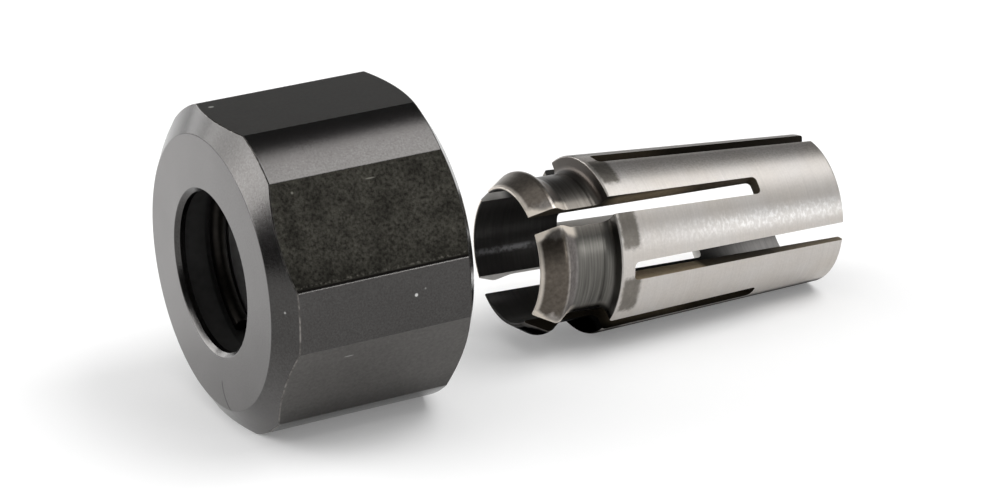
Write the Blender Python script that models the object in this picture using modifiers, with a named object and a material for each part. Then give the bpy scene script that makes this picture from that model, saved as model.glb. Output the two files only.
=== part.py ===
"""Split collet and its clamping nut, lying on a bench as they come off a router spindle.

The nut rests on one of its flats with its front face towards -X. The collet lies behind it
on its long taper, mouth towards the nut. The origin is the middle of the nut's resting flat.

The collet is turned, then slit from both ends: four slots run back from the mouth and four
run forward from the tail between them, so the whole sleeve closes evenly on a cutter shank.
The nut holds an open wire ring. The ring snaps into the collet's neck, and it draws the
collet out of the spindle when the nut is undone.
"""
import math

import bmesh
import bpy
from mathutils import Vector

MM = 0.001

# Collet: the walls stand on the bore
BORE_DIAMETER = 12.7 * MM
MOUTH_WALL = 0.25 * MM
RIDGE_WALL = 1.45 * MM
NECK_WALL = 0.6 * MM
SHOULDER_WALL = 2.2 * MM
TAIL_WALL = 0.9 * MM

# Collet: lengths along the axis, from the mouth to the tail
CONE_LENGTH = 2.0 * MM
CREST_WIDTH = 0.45 * MM
BACK_SLOPE_LENGTH = 1.2 * MM
NECK_LENGTH = 3.95 * MM
TAPER_LENGTH = 25.6 * MM

# Collet: fillets and broken edges
MOUTH_EDGE = 0.1 * MM
CREST_FRONT_FILLET = 0.5 * MM
CREST_REAR_FILLET = 0.8 * MM
NECK_FRONT_FILLET = 1.0 * MM
NECK_REAR_FILLET = 0.75 * MM
SHOULDER_EDGE = 0.25 * MM
TAIL_EDGE = 0.3 * MM
BORE_LEAD = 0.1 * MM

# Collet: saw slots
SLOTS_PER_END = 4
SLOT_WIDTH = 1.8 * MM
SLOT_CORNER = 0.45 * MM
TAIL_LAND = 9.0 * MM        # left uncut behind the slots that start at the mouth
SHOULDER_LAND = 1.45 * MM   # left uncut in front of the slots that start at the tail

# Retaining ring
WIRE_DIAMETER = 1.5 * MM
RING_ON_NECK_CLEARANCE = 0.45 * MM
RING_GAP = 2.4 * MM
RING_CLEARANCE = 0.3 * MM

# Nut: inside, from the front face back
NOSE_SETBACK = 0.1 * MM     # the clamped collet's mouth lies this far inside the front face
HEAD_CLEARANCE = 0.2 * MM
FRONT_LIP_HEIGHT = 0.6 * MM
FRONT_LIP_LENGTH = 0.5 * MM
HOLE_EDGE = 0.4 * MM
POCKET_DEPTH = 0.6 * MM

# Nut: spindle thread, left plain here at its crest diameter
SPINDLE_WALL = 2.45 * MM    # wall of the spindle nose round the collet's shoulder
THREAD_PITCH = 1.5 * MM
THREAD_LENGTH = 12.2 * MM
THREAD_ENTRY = 0.15 * MM
RELIEF_DEPTH = 0.25 * MM
RELIEF_WIDTH = 2.0 * MM

# Nut: outside
FLAT_WALL = 3.29 * MM       # between the thread's root and a flat
CORNER_TURN = 1.38 * MM     # turned off each corner of the hexagon
FRONT_CHAMFER_WIDTH = 2.45 * MM
FRONT_CHAMFER_DEPTH = 1.62 * MM
BACK_CHAMFER_WIDTH = 2.2 * MM
BACK_CHAMFER_DEPTH = 1.45 * MM

# Layout on the bench
NUT_TO_COLLET = 11.0 * MM
COLLET_SIDESTEP = 1.3 * MM

# Faceting
TURNED_STEPS = 72
FILLET_STEPS = 4
RING_STEPS = 48
SMOOTH_ANGLE = math.radians(30)
MERGE_DISTANCE = 0.00001
CUTTER_MARGIN = 1.0 * MM

# Collet: what follows from the sizes above
bore_radius = BORE_DIAMETER / 2
mouth_radius = bore_radius + MOUTH_WALL
ridge_radius = bore_radius + RIDGE_WALL
neck_radius = bore_radius + NECK_WALL
shoulder_radius = bore_radius + SHOULDER_WALL
tail_radius = bore_radius + TAIL_WALL
neck_start = CONE_LENGTH + CREST_WIDTH + BACK_SLOPE_LENGTH
shoulder_place = neck_start + NECK_LENGTH
collet_length = shoulder_place + TAPER_LENGTH

# Ring: it sits just behind the collet's ridge when the two are together
wire_radius = WIRE_DIAMETER / 2
ring_radius = neck_radius + RING_ON_NECK_CLEARANCE + wire_radius
ring_place = NOSE_SETBACK + neck_start + wire_radius

# Nut: what follows from the collet, the ring and the spindle
head_bore_radius = ridge_radius + HEAD_CLEARANCE
front_hole_radius = head_bore_radius - FRONT_LIP_HEIGHT
pocket_radius = head_bore_radius + POCKET_DEPTH
groove_radius = ring_radius + wire_radius + RING_CLEARANCE
groove_front = ring_place - wire_radius - RING_CLEARANCE
groove_back = ring_place + wire_radius + RING_CLEARANCE
seat_place = NOSE_SETBACK + shoulder_place
nut_length = seat_place + THREAD_LENGTH
thread_root_radius = shoulder_radius + SPINDLE_WALL
thread_crest_radius = thread_root_radius - 0.54127 * THREAD_PITCH
relief_radius = thread_root_radius + RELIEF_DEPTH
entry_radius = thread_root_radius + THREAD_ENTRY
flat_radius = thread_root_radius + FLAT_WALL
corner_radius = flat_radius / math.cos(math.pi / 6)
turned_radius = corner_radius - CORNER_TURN


def clear_scene():
    """Removes whatever the file was opened with."""
    for item in list(bpy.data.objects):
        bpy.data.objects.remove(item, do_unlink=True)


def new_collection(name):
    """Adds a collection to the scene."""
    collection = bpy.data.collections.new(name)
    bpy.context.scene.collection.children.link(collection)
    return collection


def add_object(name, data, collection, frame):
    """Adds an object whose place is given in the frame of one of the two axes."""
    item = bpy.data.objects.new(name, data)
    item.parent = frame
    collection.objects.link(item)
    return item


def steel(name, colour, roughness):
    """Makes one steel finish."""
    material = bpy.data.materials.new(name)
    material.use_nodes = True
    shader = material.node_tree.nodes["Principled BSDF"]
    shader.inputs["Base Color"].default_value = (*colour, 1.0)
    shader.inputs["Metallic"].default_value = 1.0
    shader.inputs["Roughness"].default_value = roughness
    return material


def fillet(corner, before, after, radius):
    """Rounds one corner of a profile: the points of the arc that touches both its sides."""
    to_before = (before - corner).normalized()
    to_after = (after - corner).normalized()
    half_angle = to_before.angle(to_after) / 2
    shorter_side = min((before - corner).length, (after - corner).length)
    reach = min(radius / math.tan(half_angle), 0.49 * shorter_side)
    arc_radius = reach * math.tan(half_angle)
    bisector = (to_before + to_after).normalized()
    centre = corner + bisector * (arc_radius / math.sin(half_angle))
    first = (corner + to_before * reach - centre).normalized()
    last = (corner + to_after * reach - centre).normalized()
    points = []
    for step in range(FILLET_STEPS + 1):
        points.append(centre + first.slerp(last, step / FILLET_STEPS) * arc_radius)
    return points


def profile_points(corners):
    """Turns (radius, distance back from the front, fillet radius) corners into a closed outline."""
    places = [Vector((radius, -distance)) for radius, distance, _ in corners]
    points = []
    for index, (_, _, fillet_radius) in enumerate(corners):
        if fillet_radius > 0:
            before = places[index - 1]
            after = places[(index + 1) % len(places)]
            points.extend(fillet(places[index], before, after, fillet_radius))
        else:
            points.append(places[index])
    return points


def turned(name, corners, collection, frame):
    """Turns a closed outline about the frame's Z axis."""
    points = profile_points(corners)
    edges = [(index, (index + 1) % len(points)) for index in range(len(points))]
    mesh = bpy.data.meshes.new(name)
    mesh.from_pydata([(point.x, 0.0, point.y) for point in points], edges, [])
    piece = add_object(name, mesh, collection, frame)
    screw = piece.modifiers.new("Turn", "SCREW")
    screw.axis = "Z"
    screw.angle = 2 * math.pi
    screw.steps = TURNED_STEPS
    screw.render_steps = TURNED_STEPS
    screw.use_merge_vertices = True
    screw.merge_threshold = MERGE_DISTANCE
    return piece


def add_cutter(name, shape, collection, frame):
    """Keeps a cutting shape as a wire guide beside the pieces."""
    mesh = bpy.data.meshes.new(name)
    shape.to_mesh(mesh)
    shape.free()
    cutter = add_object(name, mesh, collection, frame)
    cutter.hide_render = True
    cutter.display_type = "WIRE"
    return cutter


def cut(piece, cutter, operation="DIFFERENCE"):
    """Cuts a piece with a guide."""
    boolean = piece.modifiers.new(cutter.name, "BOOLEAN")
    boolean.operation = operation
    boolean.object = cutter
    boolean.solver = "EXACT"


def finish(piece, material):
    """Settles a piece's mesh: modifiers applied, shaded as turned metal, with its material."""
    bpy.context.view_layer.update()
    graph = bpy.context.evaluated_depsgraph_get()
    mesh = bpy.data.meshes.new_from_object(piece.evaluated_get(graph))
    piece.modifiers.clear()
    piece.data = mesh
    mesh.name = piece.name
    mesh.shade_smooth()
    mesh.set_sharp_from_angle(angle=SMOOTH_ANGLE)
    mesh.materials.clear()
    mesh.materials.append(material)


def axis_frame(name, place, tilt, collection):
    """Adds an empty on a piece's front face, its Z pointing out along the axis, towards -X."""
    frame = bpy.data.objects.new(name, None)
    frame.empty_display_type = "ARROWS"
    frame.empty_display_size = 10 * MM
    frame.location = place
    frame.rotation_euler = (0.0, tilt - math.pi / 2, 0.0)
    collection.objects.link(frame)
    return frame


def hexagon_guide(collection, frame):
    """The hexagonal bar the nut is cut from, two of its flats up and down."""
    shape = bmesh.new()
    bmesh.ops.create_cone(
        shape, cap_ends=True, segments=6,
        radius1=corner_radius, radius2=corner_radius,
        depth=nut_length + 2 * CUTTER_MARGIN)
    bmesh.ops.translate(shape, verts=shape.verts, vec=(0.0, 0.0, -nut_length / 2))
    return add_cutter("nut_hexagon", shape, collection, frame)


def build_nut(parts, cutters, frame, material):
    """The clamping nut: hexagonal outside, stepped and threaded inside."""
    piece = turned("clamping_nut", [
        (front_hole_radius + HOLE_EDGE, 0.0, 0.0),
        (turned_radius - FRONT_CHAMFER_WIDTH, 0.0, 0.0),
        (turned_radius, FRONT_CHAMFER_DEPTH, 0.0),
        (turned_radius, nut_length - BACK_CHAMFER_DEPTH, 0.0),
        (turned_radius - BACK_CHAMFER_WIDTH, nut_length, 0.0),
        (entry_radius, nut_length, 0.0),
        (thread_crest_radius, nut_length - (entry_radius - thread_crest_radius), 0.0),
        (thread_crest_radius, seat_place + RELIEF_WIDTH, 0.0),
        (relief_radius, seat_place + RELIEF_WIDTH - (relief_radius - thread_crest_radius), 0.0),
        (relief_radius, seat_place, 0.0),
        (head_bore_radius, seat_place, 0.0),
        (head_bore_radius, groove_back, 0.0),
        (groove_radius, groove_back, 0.0),
        (groove_radius, groove_front, 0.0),
        (pocket_radius, groove_front, 0.0),
        (pocket_radius, HOLE_EDGE + FRONT_LIP_LENGTH, 0.0),
        (front_hole_radius, HOLE_EDGE + FRONT_LIP_LENGTH, 0.0),
        (front_hole_radius, HOLE_EDGE, 0.0),
    ], parts, frame)
    cut(piece, hexagon_guide(cutters, frame), "INTERSECT")
    finish(piece, material)


def ring_curve(collection, frame):
    """The ring's wire: most of a circle, its gap at the bottom."""
    gap_angle = RING_GAP / ring_radius
    curve = bpy.data.curves.new("retaining_ring_wire", "CURVE")
    curve.dimensions = "3D"
    curve.bevel_depth = wire_radius
    curve.bevel_resolution = 2
    curve.use_fill_caps = True
    spline = curve.splines.new("POLY")
    spline.points.add(RING_STEPS)
    for step, point in enumerate(spline.points):
        angle = math.pi + gap_angle / 2 + (2 * math.pi - gap_angle) * step / RING_STEPS
        x = ring_radius * math.cos(angle)
        y = ring_radius * math.sin(angle)
        point.co = (x, y, -ring_place, 1.0)
    return add_object("retaining_ring_wire", curve, collection, frame)


def build_ring(parts, frame, material):
    """The open wire ring that holds the collet in the nut."""
    wire = ring_curve(parts, frame)
    bpy.context.view_layer.update()
    graph = bpy.context.evaluated_depsgraph_get()
    mesh = bpy.data.meshes.new_from_object(wire.evaluated_get(graph))
    shape = bmesh.new()
    shape.from_mesh(mesh)
    bmesh.ops.remove_doubles(shape, verts=shape.verts, dist=MERGE_DISTANCE)
    shape.to_mesh(mesh)
    shape.free()
    bpy.data.objects.remove(wire, do_unlink=True)
    piece = add_object("retaining_ring", mesh, parts, frame)
    finish(piece, material)


def slot_guide(name, start, end, closed_end, turn, collection, frame):
    """One saw cut right across the collet, which makes two opposite slots.

    It runs from start to end along the axis, and its corners are rounded at closed_end.
    """
    shape = bmesh.new()
    bmesh.ops.create_cube(shape, size=1.0)
    across = 2 * (shoulder_radius + CUTTER_MARGIN)
    bmesh.ops.scale(shape, verts=shape.verts, vec=(across, SLOT_WIDTH, end - start))
    bmesh.ops.translate(shape, verts=shape.verts, vec=(0.0, 0.0, -(start + end) / 2))
    end_edges = []
    for edge in shape.edges:
        first, second = (vert.co for vert in edge.verts)
        runs_across = abs(first.x - second.x) > across / 2
        at_closed_end = abs(first.z + closed_end) < MERGE_DISTANCE
        if runs_across and at_closed_end:
            end_edges.append(edge)
    bmesh.ops.bevel(
        shape, geom=end_edges, offset=SLOT_CORNER, segments=3, profile=0.5, affect="EDGES")
    cutter = add_cutter(name, shape, collection, frame)
    cutter.rotation_euler.z = turn
    return cutter


def build_collet(parts, cutters, frame, material):
    """The collet: head, neck, shoulder and long taper, slit from both ends."""
    piece = turned("split_collet", [
        (bore_radius + BORE_LEAD, 0.0, 0.0),
        (mouth_radius, 0.0, MOUTH_EDGE),
        (ridge_radius, CONE_LENGTH, CREST_FRONT_FILLET),
        (ridge_radius, CONE_LENGTH + CREST_WIDTH, CREST_REAR_FILLET),
        (neck_radius, neck_start, NECK_FRONT_FILLET),
        (neck_radius, shoulder_place, NECK_REAR_FILLET),
        (shoulder_radius, shoulder_place, SHOULDER_EDGE),
        (tail_radius, collet_length, TAIL_EDGE),
        (bore_radius + BORE_LEAD, collet_length, 0.0),
        (bore_radius, collet_length - BORE_LEAD, 0.0),
        (bore_radius, BORE_LEAD, 0.0),
    ], parts, frame)
    front_end = collet_length - TAIL_LAND
    rear_start = shoulder_place + SHOULDER_LAND
    slot_pitch = 2 * math.pi / SLOTS_PER_END
    for index in range(SLOTS_PER_END // 2):
        rear_turn = index * slot_pitch
        front_turn = rear_turn + slot_pitch / 2
        cut(piece, slot_guide(
            f"front_slots_{index + 1}", -CUTTER_MARGIN, front_end, front_end,
            front_turn, cutters, frame))
        cut(piece, slot_guide(
            f"rear_slots_{index + 1}", rear_start, collet_length + CUTTER_MARGIN, rear_start,
            rear_turn, cutters, frame))
    finish(piece, material)


def taper_radius(distance):
    """The collet's outer radius on its taper, this far back from the mouth."""
    share = (distance - shoulder_place) / TAPER_LENGTH
    return shoulder_radius + (tail_radius - shoulder_radius) * share


def collet_rest():
    """The mouth's height and the axis's tilt as the collet lies on its taper.

    It touches at the whole ring behind the shoulder, and at both edges of the tail's
    lowest slot.
    """
    front_touch = shoulder_place + SHOULDER_EDGE
    rear_touch = collet_length - TAIL_EDGE
    front_drop = taper_radius(front_touch)
    rear_drop = math.sqrt(taper_radius(rear_touch) ** 2 - (SLOT_WIDTH / 2) ** 2)
    tilt = math.atan2(front_drop - rear_drop, rear_touch - front_touch)
    height = front_drop * math.cos(tilt) + front_touch * math.sin(tilt)
    return height, tilt


def build():
    """Builds the nut, its ring and the collet where they lie."""
    clear_scene()
    parts = new_collection("collet_and_nut")
    cutters = new_collection("cutters")
    black_steel = steel("black_oxide_steel", (0.045, 0.042, 0.038), 0.38)
    spring_steel = steel("dark_spring_steel", (0.12, 0.11, 0.10), 0.35)
    ground_steel = steel("ground_steel", (0.52, 0.50, 0.48), 0.3)

    nut_frame = axis_frame("nut_axis", (-nut_length / 2, 0.0, flat_radius), 0.0, parts)
    build_nut(parts, cutters, nut_frame, black_steel)
    build_ring(parts, nut_frame, spring_steel)

    mouth_height, tilt = collet_rest()
    mouth_place = (nut_length / 2 + NUT_TO_COLLET, COLLET_SIDESTEP, mouth_height)
    collet_frame = axis_frame("collet_axis", mouth_place, tilt, parts)
    build_collet(parts, cutters, collet_frame, ground_steel)


build()
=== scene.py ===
"""Looks of a split collet and its clamping nut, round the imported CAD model.

The nut lies on a flat with its front face towards -X. The collet lies behind it on its taper.
"""
import math

import bmesh
import bpy
from mathutils import Euler, Matrix, Vector


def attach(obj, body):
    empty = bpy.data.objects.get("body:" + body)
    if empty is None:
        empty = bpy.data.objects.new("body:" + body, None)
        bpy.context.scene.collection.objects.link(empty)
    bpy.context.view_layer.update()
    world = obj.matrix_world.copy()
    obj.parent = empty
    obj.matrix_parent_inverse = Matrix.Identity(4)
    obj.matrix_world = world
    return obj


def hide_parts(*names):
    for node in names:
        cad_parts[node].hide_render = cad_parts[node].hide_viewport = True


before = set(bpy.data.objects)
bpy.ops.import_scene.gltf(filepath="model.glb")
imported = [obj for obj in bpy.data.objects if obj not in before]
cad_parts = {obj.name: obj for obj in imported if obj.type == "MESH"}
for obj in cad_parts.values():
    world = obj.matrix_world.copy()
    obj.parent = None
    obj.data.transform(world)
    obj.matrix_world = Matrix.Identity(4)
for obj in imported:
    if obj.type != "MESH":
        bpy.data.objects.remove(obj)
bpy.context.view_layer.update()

# Clamping nut: body
# Free-cutting steel, black oxidised. Its faces, chamfers, corners and bore are turned in one
# setting, its six flats are milled, and its spindle thread is cut last.
MM = 0.001
nut_front = -9.95 * MM
nut_length = 19.9 * MM
flat_radius = 14.29 * MM
nut_place = (nut_front, 0, flat_radius)
corner_step = math.radians(60)
turned_radius = 15.121 * MM
front_face_radius = 12.671 * MM
front_chamfer_depth = 1.62 * MM
back_face_radius = 12.921 * MM
back_chamfer_depth = 1.45 * MM
front_hole_radius = 7.4 * MM
hole_edge = 0.4 * MM
lip_end = 0.9 * MM
pocket_radius = 8.6 * MM
head_bore_radius = 8.0 * MM
groove_radius = 9.2 * MM
groove_front = 3.45 * MM
groove_back = 5.55 * MM
seat_place = 7.7 * MM
relief_radius = 11.25 * MM
relief_end = 9.7 * MM
thread_crest_radius = 10.188 * MM
thread_root_radius = 11.0 * MM
thread_pitch = 1.5 * MM
thread_entry_step = 0.15 * MM
thread_entry_depth = 0.96 * MM
relief_slope = 1.06 * MM
seat_rounding = 0.1 * MM
edge_break = 0.08 * MM
outer_zone = 13.5 * MM
face_zone = 0.1 * MM
back_skin = 0.02 * MM
least_flat_area = 40 * MM * MM
merge_distance = 0.001 * MM
crease_angle = math.radians(12)
smooth_angle = math.radians(28)
rounding_steps = 6
nut_steps = 264


def pick(piece, kind, test):
    """Selects the verts, edges or faces of a piece in edit mode that pass the test."""
    modes = {"verts": "VERT", "edges": "EDGE", "faces": "FACE"}
    bpy.ops.mesh.select_mode(type=modes[kind])
    bpy.ops.mesh.select_all(action="DESELECT")
    shape = bmesh.from_edit_mesh(piece.data)
    for element in getattr(shape, kind):
        if test(element):
            element.select_set(True)
    bmesh.update_edit_mesh(piece.data)


def take(piece):
    """Selects one piece alone and makes it the active one."""
    bpy.ops.object.select_all(action="DESELECT")
    piece.select_set(True)
    bpy.context.view_layer.objects.active = piece


def face_outward():
    """Turns all faces of the piece in edit mode outwards."""
    bpy.ops.mesh.select_all(action="SELECT")
    bpy.ops.mesh.normals_make_consistent(inside=False)


def turn(name, corners, steps):
    """Turns a closed outline of (radius, place, rounding) corners about the X axis."""
    bpy.ops.object.select_all(action="DESELECT")
    radius, place, _ = corners[0]
    bpy.ops.mesh.primitive_plane_add(size=MM, location=(place, 0, radius))
    piece = bpy.context.object
    piece.name = name
    bpy.ops.object.transform_apply(location=True)
    bpy.ops.object.mode_set(mode="EDIT")
    bpy.ops.mesh.select_mode(type="VERT")
    bpy.ops.mesh.merge(type="CENTER")
    for index in range(1, len(corners) + 1):
        next_radius, next_place, _ = corners[index % len(corners)]
        move = (next_place - place, 0, next_radius - radius)
        bpy.ops.mesh.extrude_vertices_move(TRANSFORM_OT_translate={"value": move})
        radius, place = next_radius, next_place
    bpy.ops.mesh.select_all(action="SELECT")
    bpy.ops.mesh.remove_doubles(threshold=merge_distance)
    for radius, place, rounding in corners:
        if rounding:
            corner = Vector((place, 0, radius))
            pick(piece, "verts", lambda vert: (vert.co - corner).length < 2 * merge_distance)
            bpy.ops.mesh.bevel(affect="VERTICES", offset=rounding, segments=rounding_steps)
    bpy.ops.mesh.select_all(action="SELECT")
    bpy.ops.mesh.spin(steps=steps, angle=2 * math.pi, center=(0, 0, 0), axis=(1, 0, 0))
    bpy.ops.mesh.select_all(action="SELECT")
    bpy.ops.mesh.remove_doubles(threshold=merge_distance)
    face_outward()
    bpy.ops.object.mode_set(mode="OBJECT")
    return piece


def cut(piece, cutter):
    """Cuts a piece with a cutter, whose finish the cut walls take, and clears the cutter away."""
    boolean = piece.modifiers.new("Cut", "BOOLEAN")
    boolean.operation = "DIFFERENCE"
    boolean.object = cutter
    boolean.solver = "EXACT"
    boolean.material_mode = "TRANSFER"
    take(piece)
    bpy.ops.object.modifier_apply(modifier=boolean.name)
    bpy.data.objects.remove(cutter, do_unlink=True)


def settle(piece, place, tilt):
    """Shades a piece as machined metal and puts its place into its mesh."""
    take(piece)
    bpy.ops.object.shade_smooth_by_angle(angle=smooth_angle)
    weighting = piece.modifiers.new("Flat faces stay flat", "WEIGHTED_NORMAL")
    weighting.keep_sharp = True
    bpy.ops.object.modifier_apply(modifier=weighting.name)
    piece.location = place
    piece.rotation_euler = (0, tilt, 0)
    bpy.ops.object.transform_apply(location=True, rotation=True, scale=True)


nut = turn("nut_body", [
    (front_hole_radius + hole_edge, 0, 0),
    (front_face_radius, 0, 0),
    (turned_radius, front_chamfer_depth, 0),
    (turned_radius, nut_length - back_chamfer_depth, 0),
    (back_face_radius, nut_length, 0),
    (thread_root_radius + thread_entry_step, nut_length, 0),
    (thread_crest_radius, nut_length - thread_entry_depth, 0),
    (thread_crest_radius, relief_end, 0),
    (relief_radius, relief_end - relief_slope, 0),
    (relief_radius, seat_place, 0),
    (head_bore_radius, seat_place, seat_rounding),
    (head_bore_radius, groove_back, seat_rounding),
    (groove_radius, groove_back, 0),
    (groove_radius, groove_front, 0),
    (pocket_radius, groove_front, 0),
    (pocket_radius, lip_end, 0),
    (front_hole_radius, lip_end, 0),
    (front_hole_radius, hole_edge, 0),
], nut_steps)

# Clamping nut: flats, broken edges and thread
# Each flat is one pass of the mill along the nut. The edges between flats and turned
# surfaces are broken by tumbling, so they show a narrow band of barer steel, painted lighter
# partly as painted highlight.
bpy.ops.object.mode_set(mode="EDIT")
for side in range(6):
    outward = Vector((0, math.sin(side * corner_step), math.cos(side * corner_step)))
    bpy.ops.mesh.select_all(action="SELECT")
    bpy.ops.mesh.bisect(
        plane_co=outward * flat_radius, plane_no=outward, use_fill=True, clear_outer=True,
        threshold=merge_distance)
face_outward()


def from_axis(point):
    """Distance of a point from the turning axis."""
    return math.hypot(point.y, point.z)


def is_broken_edge(edge):
    """True for the edges of the flats, corners and chamfers, and those of the two faces."""
    middle = (edge.verts[0].co + edge.verts[1].co) / 2
    outside = from_axis(middle) > outer_zone
    on_face = not face_zone < middle.x < nut_length - face_zone
    return (outside or on_face) and edge.calc_face_angle(0) > crease_angle


def is_worn_highlit_band(face):
    """True for the broken edges between the chamfers and the outside."""
    middle = face.calc_center_median()
    return from_axis(middle) > outer_zone and 0.15 < abs(face.normal.x) < 0.75


def is_flat(face):
    """True for the six milled flats."""
    turn_angle = math.atan2(face.normal.y, face.normal.z) / corner_step
    square_on = abs(turn_angle - round(turn_angle)) < 0.002
    outside = from_axis(face.calc_center_median()) > outer_zone
    return outside and square_on and face.calc_area() > least_flat_area


def is_inside(face):
    """True for the walls of the bore behind the front lip."""
    middle = face.calc_center_median()
    behind_lip = lip_end - face_zone < middle.x < nut_length - back_skin
    return behind_lip and from_axis(middle) < relief_radius


def dress(piece, first_finish, other_finishes):
    """Gives a piece in edit mode one finish all over, and others to the faces that pass their tests."""
    piece.data.materials.append(bpy.data.materials.new(first_finish))
    for index, (finish_name, test) in enumerate(other_finishes, 1):
        piece.data.materials.append(bpy.data.materials.new(finish_name))
        pick(piece, "faces", test)
        piece.active_material_index = index
        bpy.ops.object.material_slot_assign()


pick(nut, "edges", is_broken_edge)
bpy.ops.mesh.bevel(offset=edge_break, segments=3, affect="EDGES")
dress(nut, "turned_black_oxide", (
    ("worn_highlit_black_oxide_edge", is_worn_highlit_band),
    ("milled_black_oxide", is_flat),
    ("oiled_black_bore", is_inside)))
bpy.ops.object.mode_set(mode="OBJECT")

thread_depth = 0.862 * MM
thread_width = 1.183 * MM
thread_tip_share = 0.16
thread_run_out = 0.9 * MM
thread_turns = 9
thread_steps = 72
bpy.ops.object.select_all(action="DESELECT")
bpy.ops.mesh.primitive_plane_add(
    size=1, location=(relief_end - thread_run_out, 0, thread_root_radius - thread_depth / 2),
    rotation=(math.radians(90), 0, 0))
thread_tool = bpy.context.object
thread_tool.scale = (thread_width, thread_depth, 1)
bpy.ops.object.transform_apply(location=True, rotation=True, scale=True)
bpy.ops.object.mode_set(mode="EDIT")
pick(thread_tool, "verts", lambda vert: vert.co.z > thread_root_radius - thread_depth / 2)
bpy.ops.transform.resize(value=(thread_tip_share, 1, 1))
bpy.ops.mesh.select_all(action="SELECT")
bpy.ops.mesh.delete(type="ONLY_FACE")
bpy.ops.object.mode_set(mode="OBJECT")
helix = thread_tool.modifiers.new("Helix", "SCREW")
helix.axis = "X"
helix.angle = 2 * math.pi
helix.screw_offset = thread_pitch
helix.iterations = thread_turns
helix.steps = thread_steps
helix.render_steps = thread_steps
helix.use_merge_vertices = False
bpy.ops.object.modifier_apply(modifier=helix.name)
bpy.ops.object.mode_set(mode="EDIT")
bpy.ops.mesh.select_all(action="SELECT")
bpy.ops.mesh.fill_holes(sides=4)
face_outward()
bpy.ops.object.mode_set(mode="OBJECT")
thread_tool.data.materials.append(bpy.data.materials["oiled_black_bore"])
cut(nut, thread_tool)
settle(nut, nut_place, 0)


def paint(hex_colour):
    """An sRGB hex colour as linear RGBA."""
    parts = [int(hex_colour[index:index + 2], 16) / 255 for index in (1, 3, 5)]
    return (*[part / 12.92 if part < 0.04045 else ((part + 0.055) / 1.055) ** 2.4 for part in parts], 1)


def join(tree, node, inputs):
    """Sets a node's inputs. Each takes a value, an output, or a node, whose first live output it gets."""
    for key, value in inputs.items():
        if isinstance(value, bpy.types.Node):
            value = next(output for output in value.outputs if output.enabled)
        if isinstance(value, bpy.types.NodeSocket):
            tree.links.new(value, node.inputs[key])
        else:
            node.inputs[key].default_value = value


def add(tree, kind, settings=None, inputs=None):
    """Adds a node with its settings and its inputs."""
    node = tree.nodes.new("ShaderNode" + kind)
    for key, value in (settings or {}).items():
        setattr(node, key, value)
    join(tree, node, inputs or {})
    return node


# Settings that many nodes share
blend = {"data_type": "RGBA"}
tint = {"data_type": "RGBA", "blend_type": "MULTIPLY"}
smooth = {"interpolation_type": "SMOOTHSTEP"}
times = {"operation": "MULTIPLY"}
scale = {"operation": "SCALE"}
larger = {"operation": "MAXIMUM"}
unsigned = {"operation": "ABSOLUTE"}


def steel(material, roughness, metallic=1):
    """Gives a material a shader for steel, bare or under oxide. Returns its tree and the shader."""
    material.use_nodes = True
    tree = material.node_tree
    shader = tree.nodes["Principled BSDF"]
    join(tree, shader, {"Metallic": metallic, "Roughness": roughness})
    return tree, shader


def nick(tree, local, colour, place, radius, half_length, bare_colour):
    """Adds a nick along X to a colour. Place and sizes are millimetres in the piece's frame."""
    squeeze = radius / half_length
    squeezed = add(tree, "VectorMath", times, {0: local, 1: (squeeze, 1, 1)})
    away = add(tree, "VectorMath", {"operation": "DISTANCE"}, {
        0: squeezed, 1: (place[0] * squeeze, place[1], place[2])})
    spot = add(tree, "MapRange", smooth, {"Value": away, "From Min": radius, "From Max": radius / 2})
    return add(tree, "Mix", blend, {0: spot, 6: colour, 7: paint(bare_colour)})


def piece_frame(tree, place, tilt):
    """Coordinates in millimetres in a piece's own frame: X back along its axis."""
    coordinates = add(tree, "TexCoord")
    return add(tree, "Mapping", {"vector_type": "TEXTURE"}, {
        "Vector": coordinates.outputs["Object"], "Location": place,
        "Rotation": (0, tilt, 0), "Scale": (MM, MM, MM)})


def round_axis(tree, local):
    """Where a point lies round a piece's axis: Y and Z of its direction out from the axis."""
    across = add(tree, "VectorMath", times, {0: local, 1: (0, 1, 1)})
    outward = add(tree, "VectorMath", {"operation": "NORMALIZE"}, {0: across})
    return add(tree, "SeparateXYZ", None, {0: outward}).outputs[1:]


# Turned black oxide: thin and satin, so the steel under it still reflects. Feed marks 0.17 mm
# apart run round the axis. The end faces and the lower chamfers are painted lighter grey, as painted
# highlight. The corners and chamfers are painted lighter on their upper sides and darker on top, as
# painted light and shade. There are a curved scratch on the face and a few nicks.
tree, shader = steel(bpy.data.materials["turned_black_oxide"], 0.36)
local = piece_frame(tree, nut_place, 0)
x, y, z = add(tree, "SeparateXYZ", None, {0: local}).outputs
_, round_z = round_axis(tree, local)
across = add(tree, "VectorMath", times, {0: local, 1: (0, 1, 1)})
radius = add(tree, "VectorMath", {"operation": "LENGTH"}, {0: across})
travel = add(tree, "Math", {"operation": "ADD"}, {0: x, 1: radius})
feed = add(tree, "Math", times, {0: travel, 1: 6.0})
along_cut = add(tree, "VectorMath", scale, {0: across, "Scale": 0.12})
_, cut_y, cut_z = add(tree, "SeparateXYZ", None, {0: along_cut}).outputs
cut_place = add(tree, "CombineXYZ", None, {0: feed, 1: cut_y, 2: cut_z})
marks = add(tree, "TexNoise", None, {"Vector": cut_place, "Scale": 1.0, "Detail": 2.0})
grain = add(tree, "TexNoise", None, {"Vector": local, "Scale": 5.5, "Detail": 3.0})
grain_spread = add(tree, "MapRange", None, {"Value": grain, "From Min": 0.2, "From Max": 0.8})
clouds = add(tree, "TexNoise", None, {"Vector": local, "Scale": 0.22, "Detail": 2.0})
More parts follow.
